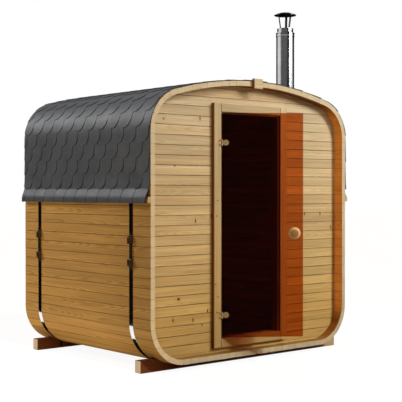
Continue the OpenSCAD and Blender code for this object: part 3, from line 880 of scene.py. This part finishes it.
def eave_path():
    """Inner side of the lowest row: it hangs before the batten, leans in over it and meets the wall."""
    n = 20
    leans = [smooth(i / n, 0.12, 0.52) * (1 - smooth(i / n, 0.8, 1.0)) for i in range(n)]
    out = BATTEN_T + 0.0004
    step = (out - 0.0045) / sum(leans)
    path = []
    for i, lean in enumerate(leans):
        path.append((out, EAVE_Z + (KICK_Z - EAVE_Z) * i / n))
        out -= lean * step
    path += [(0.0045, KICK_Z), (0.003, KICK_Z + 0.012), (0.0026, KICK_Z + 0.05), (0.0022, KICK_Z + 0.105)]
    return path


EAVE_PATH = eave_path()
# Lengths along the path
EAVE_RUN = [0.0]
for (x0, z0), (x1, z1) in zip(EAVE_PATH, EAVE_PATH[1:]):
    EAVE_RUN.append(EAVE_RUN[-1] + math.hypot(x1 - x0, z1 - z0))


def eave_place(u, d):
    """Point of the lowest row at length u up it and d out of its inner side."""
    k = 0
    while k < len(EAVE_RUN) - 2 and u > EAVE_RUN[k + 1]:
        k += 1
    (x0, z0), (x1, z1) = EAVE_PATH[k], EAVE_PATH[k + 1]
    f = (u - EAVE_RUN[k]) / (EAVE_RUN[k + 1] - EAVE_RUN[k])
    dx, dz = x1 - x0, z1 - z0
    size = math.hypot(dx, dz)
    return SIDE_X + x0 + dx * f + d * dz / size, z0 + dz * f - d * dx / size


def tab_sheet(columns, levels, place, thick):
    """A closed sheet over a grid of columns, each with its own row of levels."""
    m, n = len(columns), len(levels[0])
    points = []
    for d in (thick, 0):
        for y, row in zip(columns, levels):
            for u in row:
                x, z = place(u, d)
                points.append((x, y, z))
    count = m * n
    faces = []
    for i in range(m - 1):
        for k in range(n - 1):
            a, b = i * n + k, (i + 1) * n + k
            faces += [(a, b, b + 1, a + 1), (count + a + 1, count + b + 1, count + b, count + a)]
    edge = [i * n for i in range(m)] + [(m - 1) * n + k for k in range(1, n)]
    edge += [i * n + n - 1 for i in reversed(range(m - 1))] + list(reversed(range(1, n - 1)))
    faces += [(a, count + a, count + b, b) for a, b in zip(edge, edge[1:] + edge[:1])]
    return points, faces


def beaver_tail(q):
    """How far a tab's end draws up at q, from -1 at one edge of the tab to 1 at the other."""
    return TAIL * (1 - (1 - min(abs(q), 1) ** 2.1) ** (1 / 2.0))


def slant(z):
    """How far back the slits of the lowest row lie at height z."""
    return 0.012 * min(max((KICK_Z - z) / (KICK_Z - EAVE_Z), 0), 1)


def add_shingle(builder, side, y_mid, start, reach, place, rounded=True):
    """One tab and the part of it that runs up under the next row."""
    half = (TAB_W - SLIT) / 2
    y_low = max(y_mid - half, RIM_Y)
    y_high = min(y_mid + half, BACK_Y)
    if y_high - y_low < 0.012:
        return
    columns = [y_mid - half * math.cos(math.pi * i / 12) for i in range(13)]
    columns = [y_low] + [y for y in columns if y_low + 0.002 < y < y_high - 0.002] + [y_high]
    shift = rng.uniform(-0.0016, 0.0016)
    marks = [0, 0.02, 0.2, 0.4, 0.62, 0.8, 1]
    if not rounded:
        marks = [0] + [m / EAVE_RUN[-1] for m in EAVE_RUN[1:-1]] + [1]
    levels = []
    for y in columns:
        first = start + shift + (beaver_tail((y - y_mid) / half) if rounded else 0)
        levels.append([first + (start + reach - first) * m for m in marks])
    points, faces = tab_sheet(columns, levels, place, FELT_T if rounded else EAVE_FELT_T)
    if not rounded:
        points = [(x, min(y + slant(z) * (y > RIM_Y + SLIT), BACK_Y), z) for x, y, z in points]
    points, faces = sided(side, points, outward(points, faces))
    if any(math.hypot(x - FLUE_X, y - FLUE_Y) < FLUE_NEAR for x, y, z in points):
        points, faces = holed(points, faces, FLUE_X, FLUE_Y, FLUE_HOLE_R)
    builder.add(points, faces, points, lot())


def make_shingles():
    groups = {name + s: Builder() for name in ("eave", "side", "corner") for s in ("_left", "_right")}
    groups["crown"] = Builder()
    for side, mark in ((-1, "_left"), (1, "_right")):
        row = 0
        while True:
            # Rows start above the eave row and end under the ridge caps
            start = row * EXPOSED - 0.01
            lower_t = KICK_T - start
            if lower_t < 0.055:
                break

            def place(u, d, start=start, first=row == 0):
                rise = LIFT * (1 - (u - start) / (2 * EXPOSED))
                rise += first * EAVE_FELT_T * (1 - smooth(u - start, 0.0, 0.06))
                return on_round(max(KICK_T - u, 0.0), 0.0003 + rise + d)

            middle = lower_t - EXPOSED / 2
            if middle > CORNER_END:
                name = "side" + mark
            elif middle > CROWN_END:
                name = "corner" + mark
            else:
                name = "crown"
            for k in range(-1, 13):
                y = FIRST_Y + TAB_W * (k + row % 2 / 2)
                add_shingle(groups[name], side, y, start, min(2 * EXPOSED, lower_t - 0.004), place)
            row += 1
        for k in range(-1, 13):
            y = FIRST_Y + TAB_W * (k + 0.5)
            add_shingle(groups["eave" + mark], side, y, 0.0, EAVE_RUN[-1], eave_place, False)
    add_ridge_caps(groups["crown"])
    for name, builder in groups.items():
        node = "shingles_" + name
        builder.make(node + "_tabs", shingle_felt, node, "shingle", sharp=30)


def add_ridge_caps(builder):
    """Caps bent over the ridge, lapped along it."""
    half, step, length = 0.125, 0.145, 0.165
    y = RIM_Y
    while y < BACK_Y - 0.02:
        end = min(y + length, BACK_Y)
        columns = [y + (end - y) * i / 3 for i in range(4)]
        levels = [[-half + 2 * half * i / 10 for i in range(11)] for _ in columns]
        points, faces = tab_sheet(columns, levels, lambda u, d: on_round(u, 0.0069 + d), 0.0014)
        points = [(x, yy, z + 0.0016 * (1 - (yy - y) / length)) for x, yy, z in points]
        builder.add(points, outward(points, faces), points, lot())
        y += step


make_shingles()

# Bands and tensioners ---


def rounded_section(w, t, r=0.0006):
    """Flat bar's section as across and out, from its inner face, with small round corners."""
    out = []
    centres = ((w / 2 - r, t - r), (-w / 2 + r, t - r), (-w / 2 + r, r), (w / 2 - r, r))
    for quarter, (cx, cy) in enumerate(centres):
        for i in range(3):
            a = math.radians(90 * quarter + 45 * i)
            out.append((cx + r * math.cos(a), cy + r * math.sin(a)))
    return out


def make_band(node):
    lo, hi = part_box(node)
    y = (lo.y + hi.y) / 2
    if "upper" in node:
        end = CORNER_END + HIGH_Z - lo.z
        stations = [-end + 2 * end * i / 260 for i in range(261)]
    else:
        end = CORNER_END + HIGH_Z - hi.z
        run = ROUND_END - end
        stations = [end + 2 * run * i / 220 for i in range(221)]
    section = rounded_section(hi.y - lo.y, hi.x - SIDE_X - 0.0002)
    rings = []
    for t in stations:
        if t > ROUND_END:
            t -= 2 * ROUND_END
        ring = [(on_round(t, 0.0001 + d), y + v) for v, d in section]
        rings.append([(x, v, z) for (x, z), v in ring])
    points, faces = loft(rings)
    builder = Builder()
    builder.add(points, outward(points, faces), points, lot())
    builder.make(node + "_strap", strap_steel, node, "band_steel")


for end in ("front", "back"):
    make_band("band_" + end + "_upper")
    make_band("band_" + end + "_lower")


def lathe(profile, x, y, n, shift=0.0):
    """A solid turned about an upright axis, from a profile of radius and height."""
    return loft([circle(x, y, r, z, n, shift) for r, z in profile])


def eased_box(x0, x1, y0, y1, z0, z1, e):
    """A box with eased edges, as a loft of rings."""
    rings = []
    for z, pull in ((z0, e), (z0 + e, 0), (z1 - e, 0), (z1, e)):
        a, b, c, d = x0 + pull, x1 - pull, y0 + pull, y1 - pull
        rings.append([
            (a + e, c, z), (b - e, c, z), (b, c + e, z), (b, d - e, z),
            (b - e, d, z), (a + e, d, z), (a, d - e, z), (a, c + e, z),
        ])
    return loft(rings)


def lug_solids(inner, y0, y1, z0, z1, tip_z, cheek_w):
    """A lug with eased edges, and two cheeks beside the nut that run out to the band at tip_z."""
    up = 1 if tip_z > z1 else -1
    base, top = (z0, z1) if up > 0 else (z1, z0)
    outer = inner + LUG_T
    e = 0.0032
    profile = [
        (inner, base), (outer - e, base), (outer - 0.3 * e, base + up * 0.3 * e), (outer, base + up * e),
        (outer, top - up * e), (outer - 0.3 * e, top - up * 0.3 * e), (outer - e, top), (inner, top),
    ]
    cheek = [(inner, top), (outer - e, top), (inner + 0.002, tip_z), (inner, tip_z)]
    return [
        loft([[(x, y, z) for x, z in shape] for y in ends])
        for shape, ends in ((profile, (y0, y1)), (cheek, (y0, y0 + cheek_w)), (cheek, (y1 - cheek_w, y1)))
    ]


LUG_T = 0.019
LUG_H = 0.05
ROD_R = 0.0069
NUT_R = 0.0094
NUT_H = 0.011
# A lathe's profile ends this near its axis
POINT_R = 0.0001


def make_tensioner(node, band):
    lo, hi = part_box(node)
    side = -1 if lo.x < 0 else 1
    inner = min(abs(lo.x), abs(hi.x))
    rod_x = inner + LUG_T / 2
    y = (lo.y + hi.y) / 2
    half_w = (hi.y - lo.y) / 2
    upper_low = low(band + "_upper").z
    lower_high = high(band + "_lower").z
    parts = []
    for z0, tip in ((lower_high - LUG_H, -0.014), (upper_low, LUG_H + 0.014)):
        parts += lug_solids(inner, y - half_w, y + half_w, z0, z0 + LUG_H, z0 + tip, half_w - 0.0122)
    # The lower strap's tongue runs up behind the rod
    parts.append(eased_box(
        SIDE_X + 0.0002, SIDE_X + 0.0014, y - half_w * 0.62, y + half_w * 0.62,
        lower_high - 0.004, upper_low + 0.004, 0.0003,
    ))
    # Threaded rod
    z = lo.z
    profile = [(POINT_R, z), (ROD_R - 0.0012, z), (ROD_R - 0.0002, z + 0.0012)]
    while z < hi.z - 0.006:
        profile += [(ROD_R, z + 0.0022), (ROD_R - 0.0009, z + 0.0032)]
        z += 0.002
    profile += [(ROD_R - 0.0012, hi.z), (POINT_R, hi.z)]
    parts.append(lathe(profile, rod_x, y, 16))
    for z0 in (lower_high - LUG_H - NUT_H, upper_low + LUG_H):
        z1 = z0 + NUT_H
        parts.append(lathe(
            [(POINT_R, z0), (NUT_R * 0.88, z0), (NUT_R, z0 + 0.0012), (NUT_R, z1 - 0.0012),
             (NUT_R * 0.88, z1), (POINT_R, z1)], rod_x, y, 6, 0.5,
        ))
    builder = Builder()
    for points, faces in parts:
        points, faces = sided(side, points, outward(points, faces))
        builder.add(points, faces, points, lot())
    builder.make(node + "_screw", fitting_steel, node, "band_steel", sharp=25)


for end in ("front", "back"):
    make_tensioner("tensioner_" + end + "_left", "band_" + end)
    make_tensioner("tensioner_" + end + "_right", "band_" + end)

# Flue ---

for node, form in (("flue_pipe", "tube"), ("flue_liner", "tube"), ("flue_flashing", "sheet")):
    refined(node, form, flue_steel, sharp=4)
refined("rain_cap", "spun", cap_steel, sharp=30)

# Door leaf ---

glass = nodes["door_glass"]
glass.data.materials.clear()
glass.data.materials.append(bronze_glass)
refined("door_hinge_clamps", "metal", hinge_steel, "door_leaf")
refined("door_hinge_brackets", "metal", plate_steel)
refined("door_knobs", "turned", knob_wood, "door_leaf", axis=1)

# Studio ---


def make_floor():
    """Paper, white to the camera, and grey with a weak warm glow to other light."""
    reach = 60
    corners = [(-reach, -reach, 0), (reach, -reach, 0), (reach, reach, 0), (-reach, reach, 0)]
    mesh = mesh_of("floor", corners, [(0, 1, 2, 3)])
    floor = shown("floor", mesh)
    net = Net("floor_paper")
    cloud = net.noise(net.place, scale=0.7)
    net.surface(net.mix(cloud, (0.1, 0.098, 0.094, 1), (0.12, 0.118, 0.114, 1)), 0.9, 0)
    # The floor bounces light under the left side
    left = net.split(net.place)[0]
    bounce = net.times(
        net.span(left, -SIDE_X - 1.2, -SIDE_X - 0.6, 0.78, 1.2, smooth=True),
        net.span(left, -SIDE_X - 0.1, -SIDE_X + 0.4, 1, 0, smooth=True),
    )
    seen = net.seen()
    glow = net.node("Emission", {
        "Color": net.mix(seen, (1, 0.84, 0.62, 1), WHITE),
        "Strength": net.math("MAXIMUM", net.times(seen, 0.93), bounce),
    })
    net.end(net.node("AddShader", {0: net.shader.outputs[0], 1: glow.outputs[0]}))
    mesh.materials.append(net.material)


def make_world():
    world = bpy.data.worlds.new("studio")
    scene.world = world
    world.use_nodes = True
    world.node_tree.nodes.clear()
    net = Net("studio", world.node_tree)
    height = net.split(net.node("TexCoord").outputs["Generated"])[2]
    strength = net.span(height, -0.1, 1, 0.17, 0.23)
    fill = net.node("Background", {"Color": (1, 0.52, 0.22, 1), "Strength": strength})
    white = net.node("Background", {"Color": WHITE, "Strength": 1})
    net.node("OutputWorld", {"Surface": net.blend(net.seen(), fill, white).outputs[0]})


MAT_Z = 0.012
RING_R = 12
PANE_R = 11.5


def make_flag(name, points, faces, grey):
    """A screen that only what shines sees: dark when mirrored, white straight through glass."""
    mesh = mesh_of(name, points, faces)
    net = Net(name + "_cloth")
    cloud = net.noise(net.place, scale=0.3, detail=1)
    dark = net.mix(cloud, linear(grey, grey, grey), linear(grey + 6, grey + 5, grey + 5))
    mirrored = net.math("GREATER_THAN", net.node("LightPath").outputs["Glossy Depth"], 0.5)
    straight = net.times(net.seen(), net.math("SUBTRACT", 1, mirrored))
    colour = net.mix(straight, dark, WHITE)
    net.end(net.node("Emission", {"Color": colour, "Strength": 1}))
    mesh.materials.append(net.material)
    flag = shown(name, mesh)
    flag.visible_camera = False
    flag.visible_diffuse = False
    flag.visible_shadow = False


def upright(x0, y0, x1, y1, top):
    """Corners of a standing screen over a line on the floor."""
    return [(x0, y0, MAT_Z), (x1, y1, MAT_Z), (x1, y1, top), (x0, y0, top)]


def mat(x0, y0, x1, y1):
    """Corners of a mat on the floor."""
    return [(x0, y0, MAT_Z), (x1, y0, MAT_Z), (x1, y1, MAT_Z), (x0, y1, MAT_Z)]


def round_flue(turn, r):
    """X and Y at a turn in degrees round the flue."""
    a = math.radians(turn)
    return FLUE_X + r * math.cos(a), FLUE_Y + r * math.sin(a)


def make_flags():
    """Screens in a wide ring round the flue, with two openings, and low ones nearer."""
    for name, first, last, top, grey in (
        ("flag_front_left", 165.5, 251.5, 9, 104), ("flag_front", 251.5, 280.5, 9, 6),
        ("flag_back", 335.5, 420, 14, 6), ("flag_back_left", 420, 471.5, 9, 6),
    ):
        n = max(2, round((last - first) / 8))
        feet = [round_flue(first + (last - first) * i / n, RING_R) for i in range(n + 1)]
        points = [(x, y, z) for z in (0.02, top) for x, y in feet]
        make_flag(name, points, [(i, i + 1, n + 2 + i, n + 1 + i) for i in range(n)], grey)
    # Bright floor shows in the bands' low bends between the side screen and the mat under the belly
    for name, points, grey in (
        ("flag_pane", upright(*round_flue(234, PANE_R), *round_flue(252, PANE_R), 3.3), 36),
        ("flag_side", upright(-SIDE_X - 1.12, RIM_Y - 0.5, -SIDE_X - 0.22, RIM_Y + 4.5, 2.4), 5),
        ("mat_belly", mat(-SIDE_X - 0.11, RIM_Y - 0.2, CORNER_X, RIM_Y + 4), 5),
        ("flag_door", upright(0.4, RIM_Y - 3.5, 3.2, RIM_Y - 1.6, 2.2), 5),
        ("mat_door", mat(-8, RIM_Y - 13, 4, RIM_Y - 0.3), 36),
        ("mat_back", mat(SIDE_X + 0.2, RIM_Y - 2, 14, 14), 5),
    ):
        make_flag(name, points, [(0, 1, 2, 3)], grey)


def make_light(name, kind, energy, colour, axis, glossy=True, place=(0, 0, 0), **settings):
    """A lamp that shines down its axis."""
    data = bpy.data.lights.new(name, kind)
    data.energy = energy
    data.color = colour
    for key, value in settings.items():
        setattr(data, key, value)
    lamp = shown(name, data)
    lamp.location = place
    lamp.visible_glossy = glossy
    lamp.rotation_euler = axis.to_track_quat("Z", "Y").to_euler()


def make_lamp(name, place, target, power, size, colour, glossy=True, spread=180, tall=None):
    make_light(
        name, "AREA", power, colour, Vector(place) - Vector(target), glossy, place, shape="RECTANGLE",
        size=size, size_y=tall or size, spread=math.radians(spread),
    )


make_floor()
make_world()
make_flags()
make_light("key", "SUN", 1.42, (1, 0.99, 0.98), Vector((0.354, -0.76, 0.545)), angle=math.radians(5))
make_light("side", "SUN", 1.6, (0.97, 0.99, 1), Vector((-0.4, 0.78, 0.48)), angle=math.radians(6))
make_lamp("top", (2.4, RIM_Y - 3.2, 3.5), (0.3, WALL_Y, 1.7), 128, 1.2, (0.9, 0.98, 1))
make_lamp(
    "back_left", (-3.4, BACK_Y + 2.7, 2.8), (-SIDE_X, BACK_Y, 1), 32, 0.9, (1, 0.98, 0.95),
    glossy=False,
)
# A tall narrow lamp fills the recess at the right rim
make_lamp(
    "recess", (0.5, RIM_Y + 0.02, 1.15), (SIDE_X, RIM_Y + 0.05, 1.15), 0.4, 0.06, (1, 0.82, 0.74),
    glossy=False, spread=20, tall=1.7,
)
scene.view_settings.view_transform = "Standard"

bpy.context.view_layer.update()
